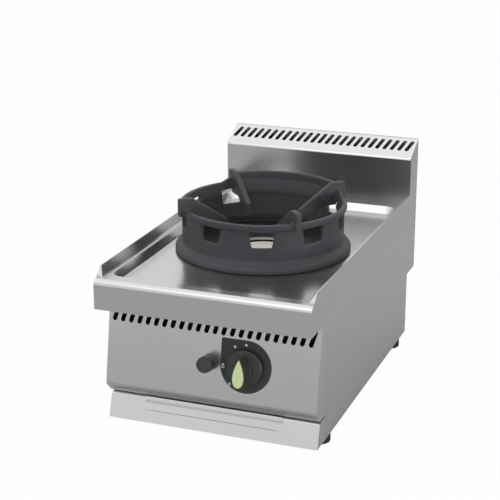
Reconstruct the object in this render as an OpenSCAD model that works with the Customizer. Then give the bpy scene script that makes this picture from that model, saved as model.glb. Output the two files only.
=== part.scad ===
// Counter-top gas wok burner: a stainless box on four feet, a pressed worktop with a
// cast wok ring, a pull-out drip tray, one gas tap with its knob, a spark button and a
// rear flue. +X is right, +Y is back, +Z is up. The origin is on the floor, mid body.

/* [Body] */
// Overall width
body_w = 400; // [380:5:440]
// Overall depth, from the apron to the back of the flue
body_d = 700; // [680:5:740]
// Height of the flat worktop above the floor
deck_z = 300; // [295:1:330]
// Height of the feet
foot_h = 20; // [15:1:30]
// Radius of a foot
foot_r = 20; // [15:1:22]
// Distance from the body's side to the middle of a foot
foot_inset = 22; // [22:1:30]
// Sheet thickness of the casing
sheet = 1.2; // [1:0.1:1.5]
// How far the side panels start behind the apron
side_inset = 87.3; // [80:0.1:95]

/* [Worktop] */
// Sheet thickness of the worktop
top_sheet = 1.5; // [1:0.1:2]
// Height of the front apron
apron_h = 55; // [50:1:60]
// Radius of the roll along the front edge
roll_r = 11.5; // [8:0.5:14]
// Height of the side upstands above the flat
upstand_h = 17; // [10:1:22]
// Width of an upstand's flat top
upstand_top = 4; // [4:0.5:6]
// Run of an upstand's inner slope
upstand_run = 10; // [7:0.5:11]
// Width of the flat beside the well
well_side = 18; // [16:0.5:24]
// Width of the flat in front of the well
well_front = 30; // [24:1:40]
// Width of the flat behind the well
well_back = 34.6; // [25:0.1:45]
// Depth of the well
well_depth = 14; // [8:1:18]
// Run of the well's sloping walls
well_run = 10; // [4:0.5:12]
// Corner radius of the well's rim
well_r = 22; // [16:1:35]
// Radius of the burner hole in the well
hole_r = 58; // [55:1:64]

/* [Flue] */
// Depth of the flue box behind the body
flue_d = 57.4; // [50:0.1:70]
// Height of the flue's front edge above the worktop
flue_front_h = 95; // [80:1:120]
// Rise of the slotted top from front to back
flue_rise = 29; // [15:1:40]
// Height of the flue's lower edge above the floor
flue_low = 147; // [135:1:160]
// Number of slots in the flue's top
flue_slots = 25; // [10:1:25]
// Distance from the body's side to the middle of the first flue slot
flue_slot_side = 12.8; // [12:0.1:30]
// Length of a flue slot
flue_slot_l = 33; // [20:1:36]

/* [Control panel] */
// How far the panel's top lies behind the apron
panel_inset = 62.7; // [55:0.1:70]
// Lean of the panel from upright, in degrees
panel_tilt = 9.93; // [5:0.01:12]
// Length of the panel's face, along its slope
panel_l = 158.4; // [150:0.1:162]
// Number of vent slots
vent_slots = 24; // [10:1:24]
// Distance from the body's side to the middle of the first vent slot
vent_slot_side = 15.2; // [15:0.1:35]
// Length of a vent slot
vent_l = 32; // [20:1:34]
// Width of every slot
slot_w = 8.5; // [5:0.5:9]
// Lean of every slot, in degrees
slot_lean = 16; // [0:1:20]
// Distance from the panel's top edge to the vent slots' middle
vent_s = 24.5; // [22:0.5:27]
// Distance from the panel's top edge to the knob and the button
control_s = 90.5; // [88:0.5:95]
// Knob's distance to the right of the middle
knob_x = 66.2; // [60:0.1:75]
// Spark button's distance to the right of the middle
button_x = -1.5; // [-10:0.5:2]

/* [Knob and button] */
// Radius of the dial plate
dial_r = 47; // [44:0.5:47.5]
// Thickness of the dial plate
dial_t = 2; // [1:0.5:3]
// Radius of the knob's skirt
knob_r = 33; // [28:0.5:36]
// Thickness of the knob's skirt
skirt_t = 7; // [5:0.5:9]
// Height of the knob's grip above its skirt
grip_h = 26; // [20:1:30]
// How far the knob pushes in
knob_push = 3; // [2:0.5:4]
// Radius of the spark button
button_r = 14.5; // [10:0.5:15.5]
// How far the spark button stands out
button_h = 30; // [15:1:32]
// How far the spark button pushes in
button_push = 4; // [2:0.5:6]

/* [Drip tray] */
// Height of the flat face of the tray's front
tray_front_h = 40.3; // [38:0.1:41]
// Radius of the roll along the top of the tray's front
tray_roll = 8; // [5:0.5:9]
// How far the foot of the tray's front lies behind the apron
tray_inset = 43.7; // [38:0.1:50]
// Lean of the tray's front from top to foot
tray_lean = 13.2; // [5:0.1:18]
// Distance from the body's side to the pan
pan_side = 30; // [28:1:50]
// Distance from the back panel to the pan
pan_back = 59.3; // [40:0.1:150]
// Height of the pan
pan_h = 30; // [20:1:31]
// Length of the finger lip
lip_l = 262; // [200:1:300]

/* [Wok ring] */
// Distance from the apron to the ring's middle
ring_y = 314.6; // [305:0.1:320]
// Outer radius of the ring's wall
ring_r = 152.3; // [148:0.1:154]
// Thickness of the ring's wall
ring_t = 6.3; // [5:0.1:8]
// Outer radius of the foot flange
flange_r = 165.7; // [160:0.1:168]
// Height of the flange's upright edge
flange_h = 6; // [4:1:12]
// Height of the curved flare above that edge
bevel_h = 16; // [12:1:22]
// Height of the rail's underside above the well
rail_low = 78.7; // [74:0.1:82]
// Height of the rail
rail_h = 11.1; // [8:0.1:13]
// How far the rail stands out of the wall
rail_out = 5; // [3:0.5:7]
// Height of the finger tops above the well
finger_top = 112; // [105:1:116]
// Thickness of a finger
finger_t = 11; // [9:0.5:13]
// Radius of a finger's outer end
finger_out = 167.6; // [164:0.1:168]
// Radius where a finger's flat top ends
finger_flat = 140.7; // [135:0.1:145]
// Radius of a finger's inner end
finger_in = 72; // [65:1:85]
// Angle of the first finger, in degrees
finger_turn = 42.2; // [35:0.1:50]
// Height of the rear wind wall's edge above the well
wall_top = 107.5; // [95:0.5:110]
// Height of the lower edge of the windows
window_low = 46; // [40:1:50]
// Height of the windows' upper edge
window_high = 76; // [70:1:78]
// Width of a window at the top
window_w = 48; // [38:1:50]
// Width of a window at the bottom
window_low_w = 36; // [28:1:40]

/* [Burner] */
// Radius of the burner's cap
cap_r = 50; // [46:0.5:52]
// Height of the cap's top below the well
cap_drop = 5; // [2:1:8]
// Thickness of the cap
cap_t = 11; // [8:1:13]
// Height of the crown with its flame ports
crown_h = 18; // [15:1:22]
// Height of the burner's pot
pot_h = 52; // [48:1:54]
// Outer radius of the mixing tube
mix_r = 18; // [15:0.5:19]
// Length of the mixing tube
mix_l = 85; // [80:1:86]
// Radius of the main gas pipe
main_pipe_r = 8; // [6:0.5:9]
// Radius of the burner's gas pipe
feed_r = 5; // [4:0.5:6]
// Radius of the gas inlet's thread
inlet_r = 10.5; // [8:0.1:11]

/* [Fits] */
// Gap between pieces that lie beside each other
gap = 0.3; // [0.2:0.05:0.4]
// Radial clearance of a running fit
run = 0.06; // [0.02:0.01:0.1]

/* [Hidden] */
$fn = 96;
hw = body_w / 2;
y_front = -body_d / 2;
y_back = body_d / 2;
y_flue = y_back - flue_d;
y_side = y_front + side_inset;
z_skirt = deck_z - apron_h;
z_well = deck_z - well_depth;
z_up = deck_z + upstand_h;
z_flue = deck_z + flue_front_h;
well_l = y_flue - y_front - well_front - well_back;
well_mid = y_front + well_front + well_l / 2;
cy = y_front + ring_y;
flange_w = 44;
lip_w = 10;
// Duct between the body and the flue
duct_w = body_w - 100;
duct_low = foot_h + 148;
duct_h = 60;
// Rail across the front, over the tray
rail_d = 22;
rail_z = 14;
// Panel frame: x to the right, y up the slope, z out of the face
panel_y = y_front + panel_inset;
panel_low_y = panel_y - panel_l * sin(panel_tilt);
panel_low_z = z_skirt - panel_l * cos(panel_tilt);
face_t = sheet / cos(panel_tilt);
// Tray
z_tray = foot_h + 6;
z_flange = z_tray + pan_h - sheet;
tray_y = y_front + tray_inset;
tray_top_y = tray_y + tray_lean;
pan_front = tray_top_y + 24;
pan_w = body_w - 2 * pan_side;
pan_d = y_flue - 2 * sheet - pan_back - pan_front;
tray_angle = atan2(tray_lean, tray_front_h);
tray_roll_y = tray_top_y + tray_roll * cos(tray_angle);
tray_roll_z = foot_h + tray_front_h - tray_roll * sin(tray_angle);
tray_top_z = tray_roll_z + tray_roll;
panel_under_z = tray_top_z + 2.2;
lip_h = 9.3;
lip_step = 2.2;
lip_proud = 1.4;
lip_y = tray_y + (tray_top_z - lip_h - foot_h) * tan(tray_angle) - lip_proud;
lip_d = tray_top_y + 7.3 - lip_y;
runner_in = pan_w / 2 + 6;
tray_flange = pan_w / 2 + 18;
// Wok ring
wall_end_h = 9;
windows = [45, 5, -33, -71, -109, -147, -185, -225];
// Burner stack
z_cap = z_well - cap_drop;
z_crown = z_cap - cap_t;
z_pot = z_crown - crown_h;
z_bridge = z_pot - pot_h;
mix_z = z_bridge + mix_r + 5;
mix_start = cy - 62;
mix_end = mix_start - mix_l;
jet_y = mix_end - 22;
shield_y = jet_y - 13;
bridge_w = 40;
// Pilot, thermocouple and spark electrode, left of the burner
pilot_at = [-cap_r - 16, cy - 14];
thermo_at = [-cap_r - 24, cy];
spark_at = [-cap_r - 16, cy + 8];
// Tap, along the knob's axis inside the panel
bonnet_r = 11;
tap_r = 16;
tap_front = 22;
tap_deep = 78;
spindle_r = 4;
bore_r = 7;
bore_deep = 60;
collar_z = 31;
knob_gap = knob_push + 0.5;
tap_x = knob_x;
tap_mid = 56;
main_x = hw - 40;
main_z = foot_h + 70;
// Spark button inside its housing
button_back = 12;
button_bore = button_back + button_push + 20;
button_deep = button_bore + 10;
// Slots and fasteners that follow the body's size
flue_pitch = (body_w - 2 * flue_slot_side) / (flue_slots - 1);
vent_pitch = (body_w - 2 * vent_slot_side) / (vent_slots - 1);
louvre_x = hw - 100;
louvre_l = 60;
screw_x = hw - 50;

// Extrudes a section drawn in y and z along the width
module along_x(w, x = 0) {
    translate([x - w / 2, 0, 0]) rotate([90, 0, 90]) linear_extrude(w) children();
}
// Extrudes a section drawn in x and z from y0 to y1
module along_y(y0, y1) {
    translate([0, y1, 0]) rotate([90, 0, 0]) linear_extrude(y1 - y0) children();
}
module box(a, b) { translate(a) cube(b - a); }
module rounded(w, d, r) {
    square([w - 2 * r, d], center = true);
    square([w, d - 2 * r], center = true);
    for (x = [-1, 1], y = [-1, 1])
        translate([x * (w / 2 - r), y * (d / 2 - r)]) circle(r, $fn = 48);
}
module slot(l, w) {
    square([w, l - w], center = true);
    for (s = [-1, 1]) translate([0, s * (l - w) / 2]) circle(w / 2, $fn = 24);
}
// Places children on the panel's face, x from the middle and s down from its top edge
module on_panel(x, s) {
    translate([x, panel_y - s * sin(panel_tilt), z_skirt - s * cos(panel_tilt)])
        rotate([90 - panel_tilt, 0, 0]) children();
}
// Rod from a to b
module rod(a, b, r) {
    d = b - a;
    translate(a) rotate([0, acos(d[2] / norm(d)), atan2(d[1], d[0])])
        cylinder(r = r, h = norm(d), $fn = 32);
}
// Pipe through the points, with a round elbow at each inner one
module pipe(points, r) {
    last = len(points) - 1;
    for (i = [1:last]) rod(points[i - 1], points[i], r);
    for (i = [1:last - 1]) translate(points[i]) sphere(r + 0.5, $fn = 32);
}

// Front apron with its roll, as a filled section or inset by a sheet
module roll_section(r, low) {
    run_l = well_front - roll_r + 1;
    translate([y_front + roll_r, deck_z - roll_r]) circle(r);
    translate([y_front + roll_r - r, low]) square([r + 1, deck_z - roll_r - low]);
    translate([y_front + roll_r, low]) square([run_l, deck_z - roll_r - low + r]);
}
module upstand_section() {
    foot = hw - upstand_top - upstand_run;
    polygon([[hw, z_skirt], [hw, z_up], [hw - upstand_top, z_up], [foot, deck_z],
        [foot, z_skirt]]);
}
module upstand_hollow() {
    lean = 0.65 * top_sheet;
    foot = hw - upstand_top - upstand_run;
    polygon([[hw - top_sheet, z_skirt - 1], [hw - top_sheet, z_up - top_sheet],
        [hw - upstand_top + lean, z_up - top_sheet], [foot + lean, deck_z - top_sheet],
        [foot - 1, deck_z - top_sheet], [foot - 1, z_skirt - 1]]);
}
module upstand_nose(y) {
    translate([0, y, deck_z]) rotate([45, 0, 0])
        translate([hw - 60, -100, 0]) cube([100, 200, 60]);
}
module upstand() {
    start = y_front + roll_r;
    difference() {
        along_y(start, y_flue) upstand_section();
        upstand_nose(start);
        difference() {
            along_y(start - 1, y_flue + 1) upstand_hollow();
            upstand_nose(start + 1.5 * top_sheet);
        }
    }
}
// The well's inside between two heights above its floor, wider by grow all round
module well_shape(grow, low, high) {
    w = body_w / 2 - well_side;
    l = well_l / 2;
    in_low = well_run * (1 - low / well_depth) - grow;
    in_high = well_run * (1 - high / well_depth) - grow;
    for (x = [-1, 1], y = [-1, 1])
        translate([x * (w - well_r), y * (l - well_r), low])
            cylinder(r1 = well_r - in_low, r2 = well_r - in_high, h = high - low);
    along_y(well_r - l, l - well_r) polygon([[in_low - w, low], [w - in_low, low],
        [w - in_high, high], [in_high - w, high]]);
    along_x(2 * (w - well_r)) polygon([[in_low - l, low], [l - in_low, low],
        [l - in_high, high], [in_high - l, high]]);
}
module worktop() color("silver") {
    difference() {
        along_x(body_w) roll_section(roll_r, z_skirt);
        along_x(body_w - 2 * top_sheet)
            translate([0, -1]) roll_section(roll_r - top_sheet, z_skirt - 1);
        along_x(body_w - 2 * top_sheet)
            translate([y_front + roll_r, z_skirt - 1])
                square([well_front, apron_h + 1 - top_sheet]);
    }
    for (s = [0, 1]) mirror([s, 0, 0]) upstand();
    translate([0, (y_front + roll_r + y_flue) / 2, deck_z - top_sheet])
        linear_extrude(top_sheet) difference() {
            square([body_w - 2 * upstand_top, y_flue - y_front - roll_r],
                center = true);
            translate([0, well_mid - (y_front + roll_r + y_flue) / 2])
                rounded(body_w - 2 * well_side, well_l, well_r);
        }
    translate([0, well_mid, z_well]) difference() {
        well_shape(top_sheet * norm([well_depth, well_run]) / well_depth, -top_sheet,
            well_depth);
        well_shape(0, 0, well_depth + 1);
        translate([0, cy - well_mid, -5]) cylinder(r = hole_r, h = 10);
    }
    translate([0, cy, z_well - 5]) difference() {
        cylinder(r = hole_r + top_sheet, h = 4.5);
        translate([0, 0, -1]) cylinder(r = hole_r, h = 7);
    }
}

// Casing
module side_panel() {
    box([hw - sheet, y_side, foot_h], [hw, y_flue, z_skirt]);
    box([hw - flange_w, y_side, foot_h], [hw, y_flue, foot_h + sheet]);
    box([hw - 18, y_side, z_skirt - sheet], [hw, y_flue, z_skirt]);
    box([hw - lip_w, y_side, foot_h], [hw, y_side + sheet, z_skirt]);
    box([hw - 15, y_flue - sheet, foot_h], [hw, y_flue, z_skirt]);
}
module side_panel_left() color("darkgray") mirror([1, 0, 0]) side_panel();
module side_panel_right() color("darkgray") side_panel();
module back_panel() color("darkgray") difference() {
    box([-hw + sheet, y_flue - 2 * sheet, foot_h + 2 * sheet],
        [hw - sheet, y_flue - sheet, z_skirt - sheet]);
    box([-duct_w / 2, y_flue - 5, duct_low], [duct_w / 2, y_flue + 5, duct_low + duct_h]);
    translate([main_x, y_flue - 5, main_z]) rotate([-90, 0, 0])
        cylinder(r = inlet_r + run, h = 10);
}
module base_plate() color("darkgray") difference() {
    box([-hw + sheet, y_side + sheet, foot_h + sheet],
        [hw - sheet, y_flue - sheet, foot_h + 2 * sheet]);
    for (x = [-1, 0, 1], y = [y_side + 102.7:40:y_flue - 90])
        translate([x * louvre_x, y, foot_h]) linear_extrude(6) rotate(90) slot(louvre_l, 8);
}
module panel_profile() {
    polygon([[panel_y, z_skirt], [panel_low_y, panel_low_z],
        [tray_top_y, panel_under_z], [y_side - gap, panel_under_z],
        [y_side - gap, z_skirt]]);
}
module control_panel() color("gainsboro") difference() {
    union() {
        for (s = [-1, 1]) along_x(sheet, s * (hw - 0.5 - sheet / 2)) panel_profile();
        along_x(body_w - 1.5) difference() {
            panel_profile();
            polygon([[panel_y + face_t + tan(panel_tilt), z_skirt + 1],
                [panel_low_y + face_t, panel_low_z],
                [tray_top_y + 0.3 * sheet, panel_under_z + sheet],
                [y_side + 1, panel_under_z + sheet], [y_side + 1, z_skirt + 1]]);
        }
        on_panel(0, 0) translate([-hw + 3, -1, -sheet]) cube([body_w - 6, 15, sheet]);
        on_panel(0, 0) translate([-hw + 3, 14 - sheet, -15]) cube([body_w - 6, sheet, 15]);
    }
    for (i = [0:vent_slots - 1])
        on_panel((i - (vent_slots - 1) / 2) * vent_pitch, vent_s)
            translate([0, 0, -3]) linear_extrude(6) rotate(-slot_lean) slot(vent_l, slot_w);
    on_panel(knob_x, control_s) translate([0, 0, -3]) cylinder(r = bonnet_r - 3, h = 6);
    on_panel(button_x, control_s) translate([0, 0, -3]) cylinder(r = button_r + gap, h = 6);
}
module front_rail() color("gray") {
    y = y_side - gap;
    low = z_flange + 6;
    difference() {
        box([-hw + lip_w + gap, y, low], [hw - lip_w - gap, y + rail_d, low + rail_z]);
        box([-hw, y + sheet, low - 1], [hw, y + rail_d - sheet, low + rail_z - sheet]);
    }
    for (s = [-1, 1]) along_x(lip_w + gap - sheet, s * (hw - (lip_w + gap + sheet) / 2))
        translate([y_side + sheet, low + rail_z - sheet]) square([rail_d - 3, sheet]);
}
module heat_shield() color("darkgray") difference() {
    union() {
        box([-hw + sheet, shield_y, foot_h + 60], [hw - sheet, shield_y + sheet, z_skirt - 6]);
        for (s = [-1, 1]) along_x(sheet, s * (hw - 1.5 * sheet))
            translate([shield_y, foot_h + 60]) square([14, z_skirt - 66 - foot_h]);
    }
    on_panel(tap_x, control_s) translate([0, 0, -160]) cylinder(r = feed_r + 4, h = 130);
    translate([main_x, shield_y - 10, main_z]) rotate([-90, 0, 0])
        cylinder(r = main_pipe_r + 3, h = 20);
    translate([-48, shield_y - 10, z_bridge - 32]) rotate([-90, 0, 0])
        cylinder(r = 16, h = 20);
}

// Drip tray
module tray_section(inset, low, back) {
    r = tray_roll - inset;
    translate([tray_roll_y, tray_roll_z]) circle(r);
    polygon([[tray_y + inset / cos(tray_angle) + (low - foot_h) * tan(tray_angle), low],
        [tray_roll_y - r * cos(tray_angle), tray_roll_z + r * sin(tray_angle)],
        [tray_roll_y, tray_roll_z], [tray_roll_y, tray_roll_z + r],
        [back, tray_roll_z + r], [back, low]]);
}
module tray_front() color("gainsboro") {
    difference() {
        union() {
            for (s = [-1, 1]) along_x(sheet, s * (hw - 0.5 - sheet / 2))
                tray_section(0, foot_h, y_side - gap);
            along_x(body_w - 1.5) difference() {
                tray_section(0, foot_h, y_side - gap);
                tray_section(sheet, foot_h - 1, y_side + 1);
                translate([pan_front, tray_top_z - 5]) square([60, 9]);
            }
        }
        along_x(lip_l) translate([lip_y - 5, tray_top_z - lip_h + sheet])
            square([lip_d + 5 - sheet, 15]);
    }
    // Finger pull: a trough open at the top, folded out of the face
    lean = tan(tray_angle);
    wall = sheet / cos(tray_angle);
    along_x(lip_l) translate([lip_y, tray_top_z - lip_h]) difference() {
        polygon([[lip_proud - lip_step * lean, -lip_step], [0, 0], [lip_h * lean, lip_h],
            [lip_d, lip_h], [lip_d, 0], [lip_proud + sheet, 0],
            [lip_proud + sheet - lip_step * lean, -lip_step]]);
        polygon([[sheet * lean + wall, sheet], [(lip_h + 1) * lean + wall, lip_h + 1],
            [lip_d - sheet, lip_h + 1], [lip_d - sheet, sheet]]);
    }
    box([-pan_w / 2, pan_front - sheet, z_tray],
        [pan_w / 2, pan_front, tray_top_z - sheet]);
}
module drip_tray() color("silver") difference() {
    union() {
        box([-pan_w / 2, pan_front, z_tray], [pan_w / 2, pan_front + pan_d, z_flange + sheet]);
        box([-tray_flange, y_side + 4, z_flange],
            [tray_flange, pan_front + pan_d, z_flange + sheet]);
    }
    box([-pan_w / 2 + sheet, pan_front + sheet, z_tray + sheet],
        [pan_w / 2 - sheet, pan_front + pan_d - sheet, z_flange + 5]);
}
module tray_runner() {
    z = z_flange - sheet;
    box([runner_in, y_side + 4, z], [hw - sheet, y_side + pan_d - 30, z + sheet]);
    box([hw - 2 * sheet, y_side + 4, z - 16], [hw - sheet, y_side + pan_d - 30, z + sheet]);
}
module tray_runner_left() color("gray") mirror([1, 0, 0]) tray_runner();
module tray_runner_right() color("gray") tray_runner();

// Flue
module flue_top_frame() {
    slope = atan2(flue_rise, flue_d);
    translate([0, y_flue, z_flue]) rotate([slope, 0, 0]) children();
}
module flue_front() color("gainsboro") {
    len_t = norm([flue_rise, flue_d]);
    difference() {
        box([-hw, y_flue, flue_low], [hw, y_flue + sheet, z_flue]);
        box([-duct_w / 2, y_flue - 1, duct_low],
            [duct_w / 2, y_flue + 5, duct_low + duct_h]);
    }
    difference() {
        flue_top_frame() translate([-hw, 0, -sheet]) cube([body_w, len_t, sheet]);
        for (i = [0:flue_slots - 1])
            flue_top_frame() translate([(i - (flue_slots - 1) / 2) * flue_pitch,
                len_t * 0.59, -3]) linear_extrude(6) rotate(-slot_lean)
                    slot(flue_slot_l, slot_w);
        box([-hw - 1, y_back - sheet, z_flue], [hw + 1, y_back + 9, z_flue + 90]);
    }
}
module flue_back() color("darkgray") {
    top = z_flue + flue_rise;
    box([-hw, y_back - sheet, flue_low], [hw, y_back, top]);
    box([-hw, y_flue + sheet, flue_low], [hw, y_back, flue_low + sheet]);
    for (s = [-1, 1]) along_x(sheet, s * (hw - sheet / 2))
        polygon([[y_flue + sheet, flue_low], [y_back, flue_low],
            [y_back, top - 1.8 * sheet],
            [y_flue + sheet, z_flue - 1.5 * sheet + sheet * flue_rise / flue_d]]);
}
module flue_baffle() color("gray") {
    along_x(body_w - 2 * sheet)
        polygon([[y_flue + 14, z_flue - 70], [y_back - sheet, z_flue - 48],
            [y_back - sheet, z_flue - 48 - sheet * 1.1], [y_flue + 14, z_flue - 70 - sheet * 1.1]]);
    box([-hw + sheet, y_back - 2 * sheet, z_flue - 62],
        [hw - sheet, y_back - sheet, z_flue - 48 - sheet]);
}

// Wok ring
function wok_points() = let (
        ri = ring_r - ring_t, rail_r = ring_r + rail_out, top = rail_low + rail_h,
        fi = flange_r - ring_t, fh = flange_h, b = bevel_h, d = flange_r - ring_r)
    [[flange_r - 1.5, 0], [flange_r, 1.5],
        for (t = [0:0.125:1]) [flange_r - d * (3 * t * t - 2 * t * t * t), fh + b * t],
        [ring_r, rail_low], [rail_r - 1, rail_low], [rail_r, rail_low + 1],
        [rail_r, top - 1.5], [rail_r - 1.5, top], [ri + 2.5, top], [ri - 2.5, rail_low - 9],
        [ri - 2.5, rail_low - 15], [ri, rail_low - 16], [ri, fh + b - 2],
        [fi, fh - 2], [fi, 0]];
module wok_window(a) {
    rotate([0, 0, a]) translate([ring_r - ring_t - 4, 0, 0]) rotate([90, 0, 90])
        linear_extrude(ring_t + 12) polygon([[-window_low_w / 2, window_low],
            [window_low_w / 2, window_low], [window_w / 2, window_high],
            [-window_w / 2, window_high]]);
}
module finger(a) {
    rotate([0, 0, a]) translate([0, finger_t / 2, 0]) rotate([90, 0, 0])
        linear_extrude(finger_t) polygon([[finger_out, rail_low + 1],
            [finger_out - 1, rail_low], [ring_r - 1, rail_low],
            [ring_r - 3, rail_low - 11], [finger_in + 46, rail_low - 11],
            [finger_in, 40], [finger_in, 64.5],
            [finger_flat, finger_top], [finger_out - 2, finger_top],
            [finger_out, finger_top - 2]]);
}
module wind_wall() {
    rotate([0, 0, finger_turn]) rotate_extrude(angle = 90)
        polygon([[ring_r + rail_out - 8, rail_low + 2], [ring_r + rail_out - 0.4, rail_low + 2],
            [ring_r + rail_out - 0.4, wall_top - 1.5], [ring_r + rail_out - 2, wall_top],
            [ring_r + rail_out - 6.5, wall_top], [ring_r + rail_out - 8, wall_top - 1.5]]);
    for (e = [0, 1]) rotate([0, 0, finger_turn + 90 * e]) mirror([0, 1 - e, 0]) wall_end();
}
// Each end of the wall falls to the rail past its finger
module wall_end() difference() {
    rotate_extrude(angle = 10.5) translate([ring_r + rail_out - 8, rail_low + 2])
        square([7, rail_h + wall_end_h]);
    translate([ring_r, finger_t / 2, rail_low + rail_h + wall_end_h]) rotate([-23, 0, 0])
        translate([-20, 0, 0]) cube([40, 60, 30]);
    translate([ring_r - 20, -1, rail_low + rail_h + wall_end_h]) cube([40, 20, 20]);
}
module wok_ring() color("dimgray") translate([0, cy, z_well]) {
    difference() {
        rotate_extrude($fn = 144) polygon(wok_points());
        for (a = windows) wok_window(a);
    }
    for (i = [0:3]) finger(finger_turn + 90 * i);
    wind_wall();
}

// Burner
module burner_pot() color("dimgray") difference() {
    union() {
        translate([0, cy, z_bridge]) cylinder(r = cap_r - 4, h = pot_h);
        translate([0, cy, mix_z]) rotate([90, 0, 0])
            cylinder(r = mix_r + 4, h = cy - mix_start + 20);
        for (s = [-1, 1]) translate([s * (cap_r + 4), cy, z_bridge])
            cylinder(r = 9, h = 8);
        for (s = [-1, 1]) box([min(s * 40, s * (cap_r + 4)), cy - 9, z_bridge],
            [max(s * 40, s * (cap_r + 4)), cy + 9, z_bridge + 8]);
    }
    translate([0, cy, z_bridge + 5]) cylinder(r = cap_r - 9, h = pot_h);
    translate([0, cy, mix_z]) rotate([90, 0, 0])
        cylinder(r = mix_r + run, h = cy - mix_start + 21);
    for (s = [-1, 1]) translate([s * (cap_r + 4), cy, z_bridge - 1])
        cylinder(r = 3.3, h = 12);
}
module burner_crown() color("goldenrod") translate([0, cy, z_pot]) difference() {
    cylinder(r = cap_r - 5, h = crown_h);
    translate([0, 0, -1]) cylinder(r = cap_r - 12, h = crown_h + 2);
    for (a = [0:15:345]) rotate([0, 0, a])
        translate([cap_r - 14, -1.5, crown_h - 10]) cube([12, 3, 11]);
}
module burner_cap() color("ivory") translate([0, cy, z_crown]) difference() {
    union() {
        cylinder(r = cap_r, h = cap_t - 2.5);
        translate([0, 0, cap_t - 2.5]) cylinder(r1 = cap_r, r2 = cap_r - 2.5, h = 2.5);
        translate([0, 0, -5]) cylinder(r = cap_r - 12 - gap, h = 6);
    }
    translate([0, 0, cap_t - 2]) cylinder(r = cap_r - 12, h = 3);
    translate([0, 0, -6]) cylinder(r = cap_r - 18, h = 10);
    for (a = [22:36:359]) rotate([0, 0, a]) translate([cap_r - 20, 0, -1])
        cylinder(r = 1.6, h = cap_t + 2, $fn = 24);
}
module burner_bridge() color("gray") {
    z = z_bridge;
    difference() {
        union() {
            box([-hw + 2 * sheet, cy - bridge_w / 2, z - sheet],
                [hw - 2 * sheet, cy + bridge_w / 2, z]);
            for (s = [-1, 1]) translate([0, cy + s * (bridge_w / 2 - sheet / 2), 0])
                box([-hw + 2 * sheet, -sheet / 2, z - 18], [hw - 2 * sheet, sheet / 2, z]);
            for (s = [-1, 1]) along_x(sheet, s * (hw - 1.5 * sheet))
                translate([cy - bridge_w / 2, z - 40]) square([bridge_w, 40]);
        }
        for (s = [-1, 1]) translate([s * (cap_r + 4), cy, z - 5])
            cylinder(r = 3.3, h = 8);
        for (p = [pilot_at, thermo_at, spark_at])
            translate([p[0], p[1], z - 5]) cylinder(r = 3.2, h = 8);
    }
}
module burner_bolts() color("silver") for (s = [-1, 1])
    translate([s * (cap_r + 4), cy, z_bridge]) {
        translate([0, 0, 8]) cylinder(r = 5.5, h = 4, $fn = 6);
        translate([0, 0, -8]) cylinder(r = 3, h = 17);
    }
module mixing_tube() color("lightgray") difference() {
    union() {
        translate([0, mix_start + 10, mix_z]) rotate([90, 0, 0])
            cylinder(r = mix_r, h = mix_l + 10);
        translate([0, mix_end + 6, mix_z]) rotate([90, 0, 0])
            cylinder(r = mix_r + 1.5, h = 6);
    }
    translate([0, mix_start + 11, mix_z]) rotate([90, 0, 0])
        cylinder(r = mix_r - 2.5, h = mix_l + 12);
    for (a = [45:90:315]) translate([0, mix_end + 24, mix_z]) rotate([0, a, 0])
        translate([mix_r - 6, -7, -5]) cube([10, 14, 10]);
}
module air_shutter() color("silver") difference() {
    translate([0, mix_end + 36, mix_z]) rotate([90, 0, 0])
        cylinder(r = mix_r + 1.6, h = 28);
    translate([0, mix_end + 37, mix_z]) rotate([90, 0, 0])
        cylinder(r = mix_r + run, h = 30);
    for (a = [65:90:335]) translate([0, mix_end + 24, mix_z]) rotate([0, a, 0])
        translate([mix_r - 6, -7, -5]) cube([10, 14, 10]);
}
module injector_holder() color("darkgoldenrod") {
    difference() {
        box([-11, jet_y - 8, mix_z - 11], [11, jet_y + 8, mix_z + 11]);
        translate([0, jet_y, mix_z]) rotate([-90, 0, 0]) cylinder(r = 4 + run, h = 9);
        translate([11, jet_y, mix_z]) rotate([0, 90, 0]) translate([0, 0, -6])
            cylinder(r = feed_r + run, h = 7);
    }
    // Strap that hangs the holder from the mixing tube's mouth
    box([-8, jet_y - 8, mix_z + 11], [8, jet_y - 6, mix_z + mix_r + 1]);
    box([-8, jet_y - 8, mix_z + mix_r - 1], [8, mix_end, mix_z + mix_r + 1]);
}
module injector() color("gold") translate([0, jet_y + 1, mix_z]) rotate([-90, 0, 0])
    difference() {
        union() {
            cylinder(r = 4, h = 7.5);
            translate([0, 0, 7]) cylinder(r = 6.5, h = 6, $fn = 6);
            translate([0, 0, 13]) cylinder(r1 = 4, r2 = 2.5, h = 5);
        }
        translate([0, 0, -1]) cylinder(r = 1, h = 22);
    }

// Gas tap and control train
module gas_tap() color("darkgoldenrod") on_panel(tap_x, control_s) difference() {
    union() {
        translate([0, 0, -tap_front - 14]) cylinder(r = bonnet_r, h = 14);
        translate([0, 0, -tap_deep]) cylinder(r = tap_r, h = tap_deep - tap_front - 12);
        translate([0, 0, -tap_mid]) rotate([0, 90, 0]) cylinder(r = 10, h = 26);
        translate([0, 0, -tap_deep - 6]) cylinder(r = 8, h = 8);
    }
    translate([0, 0, -bore_deep]) cylinder(r = bore_r, h = bore_deep);
    translate([0, 0, -tap_mid]) rotate([0, 90, 0]) translate([0, 0, 16])
        cylinder(r = main_pipe_r + run, h = 12);
    translate([0, 0, -tap_deep - 7]) cylinder(r = feed_r + run, h = 7);
}
module tap_spindle() color("silver") on_panel(tap_x, control_s)
    difference() {
        translate([0, 0, -bore_deep + knob_push + 3])
            cylinder(r = spindle_r, h = bore_deep - knob_push - 3 + 24);
        translate([spindle_r - 1.2, -10, 8]) cube([5, 20, 30]);
    }
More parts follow.
